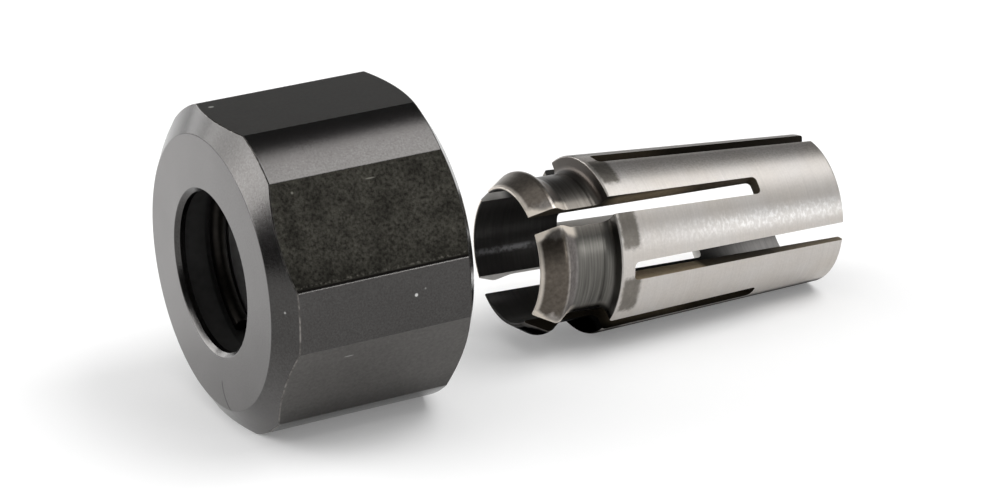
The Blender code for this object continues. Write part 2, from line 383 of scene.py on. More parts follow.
# Painted highlight: the end faces, lighter towards +Y, and the lower chamfers take the lighter grey oxide.
dark_oxide = add(tree, "Mix", blend, {0: grain_spread, 6: paint("#403e3d"), 7: paint("#525150")})
highlit_grey_oxide = add(tree, "Mix", blend, {0: grain_spread, 6: paint("#7d7b7a"), 7: paint("#92908f")})
nut_middle = 9.95
from_middle = add(tree, "Math", {"operation": "SUBTRACT"}, {0: x, 1: nut_middle})
to_ends = add(tree, "Math", unsigned, {0: from_middle})
on_face = add(tree, "MapRange", smooth, {"Value": to_ends, "From Min": 9.93, "From Max": 9.949})
on_chamfer = add(tree, "MapRange", smooth, {"Value": to_ends, "From Min": 8.1, "From Max": 8.5})
low_down = add(tree, "MapRange", smooth, {
    "Value": z, "From Min": -1.0, "From Max": -11.0, "To Max": 0.4})
low_chamfer_highlight = add(tree, "Math", times, {0: on_chamfer, 1: low_down})
to_side = add(tree, "MapRange", smooth, {
    "Value": y, "From Min": -13.0, "From Max": 8.0, "To Min": 0.55, "To Max": 0.9})
face_highlight = add(tree, "Math", times, {0: on_face, 1: to_side})
painted_highlight = add(tree, "Math", larger, {0: face_highlight, 1: low_chamfer_highlight})
tone = add(tree, "Mix", blend, {0: painted_highlight, 6: dark_oxide, 7: highlit_grey_oxide})
cloudy = add(tree, "Mix", tint, {0: 0.2, 6: tone, 7: clouds})
# Painted light and shade: the corners and chamfers are lighter on their upper sides and darker on top.
corner_side_light = add(tree, "MapRange", smooth, {
    "Value": round_z, "From Min": 0.3, "From Max": 0.75, "To Min": 1.0, "To Max": 1.14})
corner_top_shade = add(tree, "MapRange", smooth, {
    "Value": round_z, "From Min": 0.84, "From Max": 0.93, "To Min": 1.0, "To Max": 0.68})
corner_tone = add(tree, "Math", times, {0: corner_side_light, 1: corner_top_shade})
on_end = add(tree, "MapRange", smooth, {"Value": to_ends, "From Min": 8.3, "From Max": 8.5})
chamfer_side = add(tree, "MapRange", smooth, {
    "Value": round_z, "From Min": 0.3, "From Max": 0.76, "To Min": 0.9, "To Max": 1.35})
chamfer_top = add(tree, "MapRange", smooth, {
    "Value": round_z, "From Min": 0.84, "From Max": 0.99, "To Min": 1.0, "To Max": 0.55})
chamfer_tone = add(tree, "Math", times, {0: chamfer_side, 1: chamfer_top})
end_tone = add(tree, "Mix", None, {0: on_face, 2: chamfer_tone, 3: 1.0})
end_or_corner = add(tree, "Mix", None, {0: on_end, 2: corner_tone, 3: end_tone})
cornered = add(tree, "VectorMath", scale, {0: cloudy, "Scale": end_or_corner})
scratch_centre = (0, -4.04, -9.90)
scratch_radius = 2.55
from_scratch = add(tree, "VectorMath", {"operation": "DISTANCE"}, {0: across, 1: scratch_centre})
off_scratch = add(tree, "Math", {"operation": "SUBTRACT"}, {0: from_scratch, 1: scratch_radius})
scratch_width = add(tree, "Math", unsigned, {0: off_scratch})
scratch = add(tree, "MapRange", smooth, {"Value": scratch_width, "From Min": 0.12, "From Max": 0.05})
scratch_top = add(tree, "MapRange", smooth, {"Value": z, "From Min": -9.8, "From Max": -10.2})
scratch_end = add(tree, "MapRange", smooth, {"Value": y, "From Min": -3.7, "From Max": -3.2})
scratch_side = add(tree, "Math", {"operation": "LESS_THAN"}, {0: y, 1: -1.3})
for share in (scratch_top, scratch_end, scratch_side):
    scratch = add(tree, "Math", times, {0: scratch, 1: share})
colour = add(tree, "Mix", blend, {0: scratch, 6: cornered, 7: paint("#383635")})
for nick_place, nick_radius, bare_colour in (
        ((12.98, -15.11, 0.47), 0.2, "#bcbcba"),
        ((13.9, -15.11, 0.9), 0.12, "#747472"),
        ((0.81, -13.87, 0.96), 0.14, "#8c8c8a")):
    colour = nick(tree, local, colour, nick_place, nick_radius, nick_radius, bare_colour)
rough = add(tree, "MapRange", None, {"Value": grain, "To Min": 0.16, "To Max": 0.27})
feed_marks = add(tree, "Bump", None, {"Strength": 0.6, "Distance": 0.008 * MM, "Height": marks})
relief = add(tree, "Bump", None, {
    "Strength": 0.6, "Distance": 0.007 * MM, "Height": grain, "Normal": feed_marks})
join(tree, shader, {"Base Color": colour, "Roughness": rough, "Normal": relief})

# Milled black oxide: matt, with pale specks where oxide crystals of about 0.3 mm stand up. Every
# other flat is mottled and the rest are smoother. The smoother ones are painted lighter low down and
# darker on top, and darker towards the table, as painted light and shade. The side flat is darker
# towards its lower edge, with a thin dark line along that edge and a dotted burr above it, and nicks
# show bare steel.
tree, shader = steel(bpy.data.materials["milled_black_oxide"], 0.35)
local = piece_frame(tree, nut_place, 0)
crystals = add(tree, "TexNoise", None, {"Vector": local, "Scale": 3.0, "Detail": 5.0, "Roughness": 0.7})
mottle = add(tree, "TexNoise", None, {"Vector": local, "Scale": 0.45, "Detail": 5.0})
mottle_spread = add(tree, "MapRange", None, {
    "Value": mottle, "From Min": 0.3, "From Max": 0.6, "To Min": 0.3})
spread = add(tree, "MapRange", None, {"Value": crystals, "From Min": 0.34, "From Max": 0.72})
crystal_tone = add(tree, "Mix", blend, {0: spread, 6: paint("#302e2a"), 7: paint("#67655d")})
_, y, z = add(tree, "SeparateXYZ", None, {0: local}).outputs
angle = add(tree, "Math", {"operation": "ARCTAN2"}, {0: y, 1: z})
thirds = add(tree, "Math", times, {0: angle, 1: 3.0})
alternate = add(tree, "Math", {"operation": "COSINE"}, {0: thirds})
smooth_flat = add(tree, "Math", {"operation": "GREATER_THAN"}, {0: alternate, 1: 0.0})
# Painted light: the lower smooth flats are lighter and the top one darker.
above_level = add(tree, "MapRange", smooth, {"Value": z, "From Min": -2.0, "From Max": 2.0})
smooth_tone = add(tree, "Mix", blend, {0: above_level, 6: paint("#575553"), 7: paint("#464440")})
# Painted shade: darker towards the table.
low_painted_shade = add(tree, "MapRange", smooth, {
    "Value": z, "From Min": -8.5, "From Max": -12.5, "To Min": 1.0, "To Max": 0.5})
faint_mottle = add(tree, "MapRange", None, {
    "Value": crystals, "From Min": 0.3, "From Max": 0.7, "To Min": 0.82, "To Max": 1.18})
flat_shade_and_mottle = add(tree, "Math", times, {0: low_painted_shade, 1: faint_mottle})
shaded_smooth_tone = add(tree, "VectorMath", scale, {0: smooth_tone, "Scale": flat_shade_and_mottle})
tone = add(tree, "Mix", blend, {0: smooth_flat, 6: crystal_tone, 7: shaded_smooth_tone})
mottled_share = add(tree, "MapRange", None, {"Value": smooth_flat, "To Min": 0.65, "To Max": 0.1})
cloudy = add(tree, "Mix", tint, {0: mottled_share, 6: tone, 7: mottle_spread})
side_tilt = math.radians(30)
down_side = (0, -math.sin(side_tilt), -math.cos(side_tilt))
out_of_side = (0, -math.cos(side_tilt), math.sin(side_tilt))
down_flat = add(tree, "VectorMath", {"operation": "DOT_PRODUCT"}, {0: local, 1: down_side})
out_of_flat = add(tree, "VectorMath", {"operation": "DOT_PRODUCT"}, {0: local, 1: out_of_side})
on_side = add(tree, "Math", {"operation": "GREATER_THAN"}, {0: out_of_flat, 1: 14.0})
wavy_edge = add(tree, "Math", {"operation": "MULTIPLY_ADD"}, {0: crystals, 1: 0.35, 2: down_flat})
edge_line = add(tree, "MapRange", smooth, {"Value": wavy_edge, "From Min": 4.78, "From Max": 4.9})
dark_edge_line = add(tree, "Math", times, {0: edge_line, 1: on_side})
above_edge = add(tree, "Math", {"operation": "COMPARE"}, {0: wavy_edge, 1: 4.68, 2: 0.1})
bright_dots = add(tree, "MapRange", None, {"Value": crystals, "From Min": 0.5, "From Max": 0.62})
burr = add(tree, "Math", times, {0: above_edge, 1: bright_dots})
side_burr = add(tree, "Math", times, {0: burr, 1: on_side})
towards_edge = add(tree, "MapRange", smooth, {
    "Value": down_flat, "From Min": 2.0, "From Max": 4.7, "To Min": 1.0, "To Max": 0.75})
edge_shade = add(tree, "Mix", None, {0: on_side, 2: 1.0, 3: towards_edge})
shaded = add(tree, "VectorMath", scale, {0: cloudy, "Scale": edge_shade})
burred = add(tree, "Mix", blend, {0: side_burr, 6: shaded, 7: paint("#6e6b64")})
colour = add(tree, "Mix", blend, {0: dark_edge_line, 6: burred, 7: paint("#1d1c1a")})
for nick_place, nick_radius, nick_length, bare_colour in (
        ((3.52, -10.48, 10.43), 0.15, 0.15, "#8c8a80"),
        ((2.38, 3.4, 14.29), 0.26, 0.34, "#e4e2dd"),
        ((11.07, -10.53, 10.34), 0.09, 0.6, "#8a887f"),
        ((6.76, -13.96, -4.4), 0.09, 0.6, "#8c8b89")):
    colour = nick(tree, local, colour, nick_place, nick_radius, nick_length, bare_colour)
crystal_height = add(tree, "MapRange", None, {"Value": smooth_flat, "To Min": 0.012, "To Max": 0.003})
raised = add(tree, "Math", times, {0: crystals, 1: crystal_height})
relief = add(tree, "Bump", None, {"Strength": 0.5, "Distance": MM, "Height": raised})
join(tree, shader, {"Base Color": colour, "Normal": relief})

# Worn edge: handling has rubbed the oxide thin, so greyer steel shows in a broken line, painted
# lighter partly as painted highlight. It is painted darker towards the back, as painted shade.
tree, shader = steel(bpy.data.materials["worn_highlit_black_oxide_edge"], 0.35)
local = piece_frame(tree, nut_place, 0)
rubbing = add(tree, "TexNoise", None, {"Vector": local, "Scale": 1.6, "Detail": 4.0})
bare = add(tree, "MapRange", None, {"Value": rubbing, "From Min": 0.42, "From Max": 0.62})
# Partly painted highlight: the band is lighter than the turned oxide.
tone = add(tree, "Mix", blend, {0: bare, 6: paint("#4f4d4b"), 7: paint("#787572")})
x = add(tree, "SeparateXYZ", None, {0: local}).outputs["X"]
# Painted shade: darker towards the back.
to_back = add(tree, "MapRange", smooth, {
    "Value": x, "From Min": 8.0, "From Max": 12.0, "To Min": 1.0, "To Max": 0.4})
edge_tone = add(tree, "VectorMath", scale, {0: tone, "Scale": to_back})
join(tree, shader, {"Base Color": edge_tone})

# Oiled bore: a film of oil lies on the oxide, so it is less metallic, with cloudy tones. The
# pocket in front of the ring is painted darkest, as painted shade.
tree, shader = steel(bpy.data.materials["oiled_black_bore"], 0.4, 0.3)
local = piece_frame(tree, nut_place, 0)
film = add(tree, "TexNoise", None, {"Vector": local, "Scale": 1.2, "Detail": 3.0})
tone = add(tree, "Mix", blend, {0: film, 6: paint("#525150"), 7: paint("#787776")})
x = add(tree, "SeparateXYZ", None, {0: local}).outputs["X"]
# Painted shade: darker towards the front of the bore.
past_ring = add(tree, "MapRange", smooth, {"Value": x, "From Min": 4.0, "From Max": 7.0, "To Min": 0.35})
deep_tone = add(tree, "VectorMath", scale, {0: tone, "Scale": past_ring})
join(tree, shader, {"Base Color": deep_tone})

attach(nut, "root")
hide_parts("clamping_nut")

# Retaining ring
# Spring wire, blackened, bent to an open ring. It is snapped into the groove in the nut's
# wall with its gap at the bottom, and its ends are cropped and deburred.
wire_radius = 0.75 * MM
ring_radius = 8.15 * MM
ring_place = 4.5 * MM
ring_gap = 2.4 * MM
ring_end_break = 0.15 * MM
ring_end_corner = math.radians(60)
gap_angle = ring_gap / ring_radius
wire_steps = 28
bend_steps = 140
bpy.ops.object.select_all(action="DESELECT")
bpy.ops.mesh.primitive_circle_add(
    vertices=wire_steps, radius=wire_radius, location=(ring_place, 0, ring_radius),
    rotation=(math.radians(90), 0, 0))
ring = bpy.context.object
ring.name = "wire_ring"
bpy.ops.object.transform_apply(location=True, rotation=True)
bpy.ops.object.mode_set(mode="EDIT")
bpy.ops.mesh.select_all(action="SELECT")
bpy.ops.mesh.spin(
    steps=bend_steps, angle=2 * math.pi - gap_angle, center=(0, 0, 0), axis=(1, 0, 0))
bpy.ops.mesh.select_all(action="SELECT")
bpy.ops.mesh.fill_holes(sides=0)
face_outward()
pick(ring, "edges", lambda edge: edge.calc_face_angle(0) > ring_end_corner)
bpy.ops.mesh.bevel(offset=ring_end_break, segments=3, affect="EDGES")
bpy.ops.object.mode_set(mode="OBJECT")
ring.rotation_euler.x = math.pi + gap_angle / 2
bpy.ops.object.transform_apply(rotation=True)
settle(ring, nut_place, 0)

# Drawn spring wire: blackened by tempering, with die lines along it.
ring.data.materials.append(bpy.data.materials.new("drawn_spring_wire"))
tree, shader = steel(ring.data.materials[0], 0.45)
local = piece_frame(tree, nut_place, 0)
temper = add(tree, "TexNoise", None, {"Vector": local, "Scale": 1.5, "Detail": 3.0})
tone = add(tree, "Mix", blend, {0: temper, 6: paint("#191817"), 7: paint("#312e2b")})
across = add(tree, "VectorMath", times, {0: local, 1: (0, 1, 1)})
radius = add(tree, "VectorMath", {"operation": "LENGTH"}, {0: across})
die_lines = add(tree, "TexNoise", {"noise_dimensions": "1D"}, {"W": radius, "Scale": 12.0})
relief = add(tree, "Bump", None, {"Strength": 0.4, "Distance": 0.01 * MM, "Height": die_lines})
join(tree, shader, {"Base Color": tone, "Normal": relief})

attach(ring, "root")
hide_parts("retaining_ring")

# Split collet: sleeve
# Spring steel, turned, slit by a slotting saw from both ends, hardened, and then ground on
# its taper and in its bore. The neck keeps its turning marks.
collet_place = (20.95 * MM, 1.3 * MM, 8.941 * MM)
collet_tilt = math.radians(3.0347)
collet_length = 33.2 * MM
bore_radius = 6.35 * MM
bore_lead = 0.1 * MM
mouth_radius = 6.6 * MM
ridge_radius = 7.8 * MM
cone_length = 2.0 * MM
crest_end = 2.45 * MM
neck_start = 3.65 * MM
neck_radius = 6.95 * MM
shoulder_place = 7.6 * MM
shoulder_radius = 8.55 * MM
tail_radius = 7.25 * MM
turning_pitch = 0.22 * MM
turning_depth = 0.02 * MM
turning_start = 4.1 * MM
turning_grooves = 12
mouth_edge = 0.05 * MM
crest_front_rounding = 0.14 * MM
crest_back_rounding = 0.22 * MM
neck_front_rounding = 0.31 * MM
neck_back_rounding = 0.75 * MM
shoulder_edge = 0.25 * MM
tail_edge = 0.3 * MM
bore_zone = bore_radius + 0.08 * MM
head_zone = shoulder_place + 0.03 * MM
collet_steps = 240

neck_marks = []
for groove in range(turning_grooves):
    groove_place = turning_start + groove * turning_pitch
    neck_marks.append((neck_radius, groove_place, 0))
    neck_marks.append((neck_radius - turning_depth, groove_place + turning_pitch / 2, 0))

collet = turn("collet_sleeve", [
    (bore_radius + bore_lead, 0, 0),
    (mouth_radius, 0, mouth_edge),
    (ridge_radius, cone_length, crest_front_rounding),
    (ridge_radius, crest_end, crest_back_rounding),
    (neck_radius, neck_start, neck_front_rounding),
    *neck_marks,
    (neck_radius, shoulder_place, neck_back_rounding),
    (shoulder_radius, shoulder_place, shoulder_edge),
    (tail_radius, collet_length, tail_edge),
    (bore_radius + bore_lead, collet_length, 0),
    (bore_radius, collet_length - bore_lead, 0),
    (bore_radius, bore_lead, 0),
], collet_steps)


def is_bore(face):
    """True for the ground bore."""
    return from_axis(face.calc_center_median()) < bore_zone


def is_head(face):
    """True for the turned head, neck and shoulder face in front of the taper."""
    middle = face.calc_center_median()
    return from_axis(middle) > bore_zone and middle.x < head_zone


bpy.ops.object.mode_set(mode="EDIT")
dress(collet, "ground_taper", (("turned_head", is_head), ("ground_bore", is_bore)))
bpy.ops.object.mode_set(mode="OBJECT")

# Split collet: slots
# One pass of the saw cuts two opposite slots. Two passes come in from the mouth and two
# from the tail, half a step round, and each ends in rounded corners.
slot_width = 1.8 * MM
slot_corner = 0.45 * MM
front_slot_end = 24.2 * MM
rear_slot_start = 9.05 * MM
overrun = 1.0 * MM
slot_wall = bpy.data.materials.new("sawn_slot_wall")

for turn_degrees, start, end, closed_end in (
        (45, -overrun, front_slot_end, front_slot_end),
        (135, -overrun, front_slot_end, front_slot_end),
        (0, rear_slot_start, collet_length + overrun, rear_slot_start),
        (90, rear_slot_start, collet_length + overrun, rear_slot_start)):
    bpy.ops.object.select_all(action="DESELECT")
    bpy.ops.mesh.primitive_cube_add(
        size=1, location=((start + end) / 2, 0, 0),
        scale=(end - start, slot_width, 2 * (shoulder_radius + overrun)))
    saw = bpy.context.object
    bpy.ops.object.transform_apply(location=True, scale=True)
    bpy.ops.object.mode_set(mode="EDIT")
    pick(saw, "edges", lambda edge: all(
        abs(vert.co.x - closed_end) < 10 * merge_distance for vert in edge.verts) and
        abs(edge.verts[0].co.z - edge.verts[1].co.z) > overrun)
    bpy.ops.mesh.bevel(offset=slot_corner, segments=rounding_steps, affect="EDGES")
    bpy.ops.object.mode_set(mode="OBJECT")
    saw.rotation_euler.x = math.radians(turn_degrees)
    bpy.ops.object.transform_apply(rotation=True)
    saw.data.materials.append(slot_wall)
    cut(collet, saw)
settle(collet, collet_place, collet_tilt)


def stretch(tree, place, start, full, fading, end):
    """1 along a stretch of a piece, coming in from start to full and going out from fading to end."""
    coming = add(tree, "MapRange", smooth, {"Value": place, "From Min": start, "From Max": full})
    going = add(tree, "MapRange", smooth, {"Value": place, "From Min": end, "From Max": fading})
    return add(tree, "Math", times, {0: coming, 1: going})


# Ground taper: the wheel leaves fine lines round the axis, drawn here at 0.15 mm because the
# real ones are too fine to show. Each land keeps a ragged patch of oxide behind the shoulder.
# A strip of glints is painted on the near side, as painted highlight. The upper side is painted
# darker, as painted shade, and has real grit in it; the crown is painted bright, as painted
# highlight, and the underside is painted dark, with its reflections dimmed, as painted shade.
tree, shader = steel(bpy.data.materials["ground_taper"], 0.3)
local = piece_frame(tree, collet_place, collet_tilt)
x = add(tree, "SeparateXYZ", None, {0: local}).outputs["X"]
round_y, round_z = round_axis(tree, local)
wheel = add(tree, "Math", times, {0: x, 1: 6.5})
wheel_place = add(tree, "CombineXYZ", None, {0: wheel, 1: round_y, 2: round_z})
lines = add(tree, "TexNoise", None, {"Vector": wheel_place, "Scale": 1.0, "Detail": 3.0, "Roughness": 0.6})
stain = add(tree, "TexNoise", None, {"Vector": local, "Scale": 0.25, "Detail": 2.0})
tone = add(tree, "Mix", blend, {0: lines, 6: paint("#bcb9b7"), 7: paint("#d3d1cf")})
warm = add(tree, "Mix", tint, {0: stain, 6: tone, 7: paint("#f3ede5")})
angle = add(tree, "Math", {"operation": "ARCTAN2"}, {0: round_z, 1: round_y})
glint_place = add(tree, "CombineXYZ", None, {0: x, 1: angle, 2: 0.0})
glint_scaled = add(tree, "VectorMath", times, {0: glint_place, 1: (3.2, 14.0, 1.0)})
glint_spots = add(tree, "TexNoise", None, {
    "Vector": glint_scaled, "Scale": 1.0, "Detail": 3.0, "Roughness": 0.6})
spots = add(tree, "MapRange", None, {
    "Value": glint_spots, "From Min": 0.46, "From Max": 0.64, "To Min": 0.4})
# Painted highlight: a strip of lighter glints round the near side.
glint_angle = math.radians(159)
glint_turn = add(tree, "Math", {"operation": "SUBTRACT"}, {0: angle, 1: glint_angle})
glint_distance = add(tree, "Math", unsigned, {0: glint_turn})
glint_side = add(tree, "MapRange", smooth, {
    "Value": glint_distance, "From Min": 0.19, "From Max": 0.03, "To Max": 0.8})
glint_length = add(tree, "MapRange", smooth, {
    "Value": x, "From Min": 11.0, "From Max": 24.0, "To Min": 0.35})
glint_share = add(tree, "Math", times, {0: glint_side, 1: glint_length})
painted_highlight = add(tree, "Math", times, {0: glint_share, 1: spots})
lands = 8
first_land = math.radians(44)
sectors = add(tree, "Math", {"operation": "MULTIPLY_ADD"}, {0: angle, 1: lands, 2: first_land})
mid_land = add(tree, "Math", {"operation": "COSINE"}, {0: sectors})
ragged = add(tree, "TexNoise", None, {"Vector": local, "Scale": 1.6, "Detail": 5.0, "Roughness": 0.7})
ragged_land = add(tree, "Math", {"operation": "ADD"}, {0: mid_land, 1: ragged})
land_share = add(tree, "MapRange", smooth, {"Value": ragged_land, "From Min": 0.95, "From Max": 0.35})
ragged_place = add(tree, "Math", {"operation": "MULTIPLY_ADD"}, {0: ragged, 1: 0.6, 2: x})
patch_length = stretch(tree, ragged_place, 8.0, 8.4, 9.8, 10.3)
patch = add(tree, "Math", times, {0: patch_length, 1: land_share})
glint_tone = add(tree, "Mix", blend, {0: painted_highlight, 6: warm, 7: paint("#f4f3f2")})
oxide = add(tree, "Mix", blend, {0: ragged, 6: paint("#4a4641"), 7: paint("#837e76")})
patch_share = add(tree, "Math", times, {0: patch, 1: 0.9})
patched = add(tree, "Mix", blend, {0: patch_share, 6: glint_tone, 7: oxide})
# Painted shade on the underside and the top, a painted highlight on the crown, with real grit mixed in on
# the top.
underside_painted_shade = add(tree, "MapRange", smooth, {
    "Value": round_z, "From Min": -0.86, "From Max": -0.74, "To Min": 0.15})
top_painted_shade = add(tree, "MapRange", smooth, {
    "Value": round_z, "From Min": 0.85, "From Max": 0.965, "To Min": 1.0, "To Max": 0.58})
crown_painted_highlight = add(tree, "MapRange", smooth, {
    "Value": round_z, "From Min": 0.984, "From Max": 0.997, "To Min": 1.0, "To Max": 1.9})
grit = add(tree, "TexNoise", None, {"Vector": local, "Scale": 4.5, "Detail": 3.0, "Roughness": 0.6})
grit_share = add(tree, "MapRange", None, {
    "Value": top_painted_shade, "From Min": 1.0, "From Max": 0.6, "To Min": 0.12, "To Max": 0.5})
grit_spread = add(tree, "MapRange", None, {
    "Value": grit, "From Min": 0.3, "From Max": 0.7, "To Min": 0.6, "To Max": 1.25})
gritty = add(tree, "Mix", None, {0: grit_share, 2: 1.0, 3: grit_spread})
painted_light_scale = underside_painted_shade
for share in (top_painted_shade, crown_painted_highlight, gritty):
    painted_light_scale = add(tree, "Math", times, {0: painted_light_scale, 1: share})
painted_light_tone = add(tree, "VectorMath", scale, {0: patched, "Scale": painted_light_scale})
rough = add(tree, "MapRange", None, {"Value": lines, "To Min": 0.44, "To Max": 0.56})
glint_rough = add(tree, "Mix", None, {0: painted_highlight, 2: rough, 3: 0.3})
relief = add(tree, "Bump", None, {"Strength": 0.5, "Distance": 0.008 * MM, "Height": lines})
join(tree, shader, {
    "Base Color": painted_light_tone, "Specular Tint": underside_painted_shade, "Roughness": glint_rough, "Normal": relief})

# Turned head: a dark, arched patch of oxide is left on each finger's cone; it is painted lighter on
# the top finger, as painted light. The rim of the mouth and the corners at the slots are rubbed bare
# and painted bright, partly as painted highlight, and the back slope is rubbed grey. The neck shows
# its turning marks. Its top and the shoulder's are brown, and its low side and the underside are
# painted dark, with their reflections dimmed, as painted shade.
tree, shader = steel(bpy.data.materials["turned_head"], 0.34)
local = piece_frame(tree, collet_place, collet_tilt)
x = add(tree, "SeparateXYZ", None, {0: local}).outputs["X"]
round_y, round_z = round_axis(tree, local)
angle = add(tree, "Math", {"operation": "ARCTAN2"}, {0: round_y, 1: round_z})
fingers = 4
finger_turn = add(tree, "Math", times, {0: angle, 1: fingers})
mid_finger = add(tree, "Math", {"operation": "COSINE"}, {0: finger_turn})
ragged = add(tree, "TexNoise", None, {"Vector": local, "Scale": 0.8, "Detail": 3.0})
ragged_finger = add(tree, "Math", {"operation": "ADD"}, {0: mid_finger, 1: ragged})
finger_share = add(tree, "MapRange", smooth, {"Value": ragged_finger, "From Min": -0.2, "From Max": 0.1})
patch_length = stretch(tree, x, 0.15, 0.45, 2.2, 2.5)
patch = add(tree, "Math", times, {0: patch_length, 1: finger_share})
feed = add(tree, "Math", times, {0: x, 1: 5.0})
feed_place = add(tree, "CombineXYZ", None, {0: feed, 1: round_y, 2: round_z})
lines = add(tree, "TexNoise", None, {"Vector": feed_place, "Scale": 1.0, "Detail": 2.0})
mottle = add(tree, "TexNoise", None, {"Vector": local, "Scale": 2.6, "Detail": 4.0})
bright = add(tree, "Mix", blend, {0: mottle, 6: paint("#5f5a58"), 7: paint("#b8b2ab")})
front_dark = add(tree, "Mix", blend, {0: mottle, 6: paint("#3f3935"), 7: paint("#6e675e")})
top_dark = add(tree, "Mix", blend, {0: mottle, 6: paint("#554f4a"), 7: paint("#8d857b")})
# Painted light: the oxide patch is lighter on the top finger than on the front one.
on_top = add(tree, "MapRange", smooth, {"Value": round_z, "From Min": 0.6, "From Max": 0.8})
dark = add(tree, "Mix", blend, {0: on_top, 6: front_dark, 7: top_dark})
neck_tone = add(tree, "Mix", blend, {0: lines, 6: paint("#1b1917"), 7: paint("#83817c")})
on_neck = add(tree, "MapRange", smooth, {"Value": x, "From Min": 3.2, "From Max": 3.9})
worn = add(tree, "Mix", blend, {0: on_neck, 6: bright, 7: neck_tone})
patched = add(tree, "Mix", blend, {0: patch, 6: worn, 7: dark})
slot_gaps = []
for slot_turn in (math.radians(45), math.radians(135)):
    square_to_slot = (0, math.cos(slot_turn), math.sin(slot_turn))
    to_slot = add(tree, "VectorMath", {"operation": "DOT_PRODUCT"}, {0: local, 1: square_to_slot})
    slot_gaps.append(add(tree, "Math", unsigned, {0: to_slot}))
nearest_slot = add(tree, "Math", {"operation": "MINIMUM"}, {0: slot_gaps[0], 1: slot_gaps[1]})
# Wear and painted highlight: the slot edges and mouth rim are painted cream.
arch = stretch(tree, x, 0.0, 1.5, 2.0, 2.9)
arched_slot = add(tree, "Math", {"operation": "MULTIPLY_ADD"}, {0: arch, 1: 0.7, 2: nearest_slot})
ragged_slot = add(tree, "Math", {"operation": "MULTIPLY_ADD"}, {0: mottle, 1: 0.5, 2: arched_slot})
slot_wear_and_highlight = add(tree, "MapRange", smooth, {"Value": ragged_slot, "From Min": 2.35, "From Max": 1.7})
before_neck = add(tree, "MapRange", smooth, {
    "Value": x, "From Min": 4.3, "From Max": 3.6, "To Min": 0.1})
slot_edge = add(tree, "Math", times, {0: slot_wear_and_highlight, 1: before_neck})
rim_wear_and_highlight = add(tree, "MapRange", smooth, {"Value": x, "From Min": 0.4, "From Max": 0.12, "To Max": 0.55})
head_wear_and_highlight = add(tree, "Math", larger, {0: slot_edge, 1: rim_wear_and_highlight})
slope_tone = add(tree, "Mix", blend, {0: mottle, 6: paint("#4d4847"), 7: paint("#a09a98")})
slope_length = stretch(tree, x, 2.45, 2.75, 3.5, 4.0)
off_top = add(tree, "MapRange", None, {"Value": on_top, "To Min": 0.8, "To Max": 0.15})
slope_wear = add(tree, "Math", times, {0: slope_length, 1: off_top})
slope_worn = add(tree, "Mix", blend, {0: slope_wear, 6: patched, 7: slope_tone})
edge_worn_and_highlit = add(tree, "Mix", blend, {0: head_wear_and_highlight, 6: slope_worn, 7: paint("#e6dccf")})
on_shoulder = add(tree, "MapRange", smooth, {"Value": x, "From Min": 6.9, "From Max": 7.4})
upper_shoulder = add(tree, "MapRange", smooth, {
    "Value": round_z, "From Min": 0.55, "From Max": 0.8, "To Max": 0.8})
neck_or_shoulder = add(tree, "MapRange", None, {"Value": on_shoulder, "To Min": 0.5, "To Max": 1.0})
brown_share = on_neck
for share in (neck_or_shoulder, upper_shoulder):
    brown_share = add(tree, "Math", times, {0: brown_share, 1: share})
browned = add(tree, "Mix", blend, {0: brown_share, 6: edge_worn_and_highlit, 7: paint("#2f2722")})
# Painted shade: the low side of the neck and the underside are darkened, reflections too.
low_neck = add(tree, "MapRange", smooth, {
    "Value": round_z, "From Min": -0.47, "From Max": -0.59, "To Min": 1.0, "To Max": 0.1})
neck_painted_shade = add(tree, "Mix", None, {0: on_neck, 2: 1.0, 3: low_neck})
underside_painted_shade = add(tree, "MapRange", smooth, {
    "Value": round_z, "From Min": -0.84, "From Max": -0.62, "To Min": 0.07})
painted_light_scale = add(tree, "Math", times, {0: underside_painted_shade, 1: neck_painted_shade})
painted_light_tone = add(tree, "VectorMath", scale, {0: browned, "Scale": painted_light_scale})
wear_and_highlight = add(tree, "Math", larger, {0: head_wear_and_highlight, 1: slope_wear})
metal_share = add(tree, "MapRange", None, {"Value": wear_and_highlight, "To Min": 1.0, "To Max": 0.3})
relief = add(tree, "Bump", None, {"Strength": 0.7, "Distance": 0.014 * MM, "Height": lines})
join(tree, shader, {
    "Base Color": painted_light_tone, "Specular Tint": painted_light_scale, "Metallic": metal_share, "Normal": relief})

# Ground bore: honed to size, and dark because it mirrors itself. It is painted darker in the middle,
# with its reflections dimmed, as painted shade. A faint, speckled streak is painted on its far wall
# behind the mouth, as a painted reflection.
tree, shader = steel(bpy.data.materials["ground_bore"], 0.28, 0.6)
local = piece_frame(tree, collet_place, collet_tilt)
stretched = add(tree, "VectorMath", times, {0: local, 1: (4.0, 0.4, 0.4)})
hone = add(tree, "TexNoise", None, {"Vector": stretched, "Scale": 1.0, "Detail": 3.0})
tone = add(tree, "Mix", blend, {0: hone, 6: paint("#4c4a49"), 7: paint("#6b6967")})
x, y, z = add(tree, "SeparateXYZ", None, {0: local}).outputs
# Painted shade: darker in the middle of the bore.
near_mouth = add(tree, "MapRange", smooth, {
    "Value": x, "From Min": 12.0, "From Max": 6.0, "To Min": 0.1, "To Max": 0.5})
near_tail = add(tree, "MapRange", smooth, {
    "Value": x, "From Min": 24.0, "From Max": 31.5, "To Min": 0.12, "To Max": 0.7})
deep_painted_shade = add(tree, "Math", larger, {0: near_mouth, 1: near_tail})
painted_shade_bore = add(tree, "VectorMath", scale, {0: tone, "Scale": deep_painted_shade})
